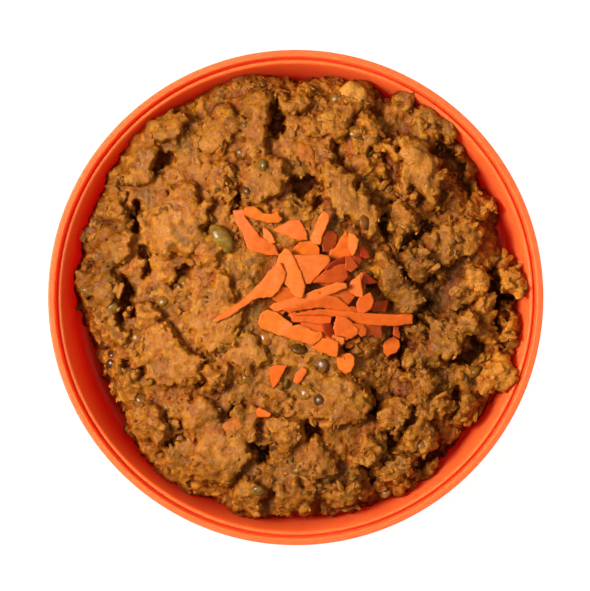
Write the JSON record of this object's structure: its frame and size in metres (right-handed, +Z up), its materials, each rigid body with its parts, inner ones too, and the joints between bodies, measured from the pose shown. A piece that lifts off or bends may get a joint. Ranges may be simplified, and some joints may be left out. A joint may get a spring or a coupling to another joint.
{
  "type": "bowl of stew",
  "caption": "Round two-tier bowl with a stepped rim, heaped with thick lentil and potato stew, a small pile of grated carrot on top.",
  "frame": {"origin": "on the table, under the centre of the bowl", "axes": "+Z up out of the bowl, +Y away from the viewer of the picture, +X to the viewer's right"},
  "size_m": [0.18, 0.18, 0.0616],
  "materials": {
    "bowl": "satin",
    "stew": "moist, crumbly food",
    "carrot": "fresh cut, slightly wet food",
    "lentil": "moist, smooth skin",
    "potato": "moist cooked food"
  },
  "bodies": {
    "root": {"bowl": "bowl", "stew": "stew", "grated_carrot": "carrot"}
  },
  "joints": []
}
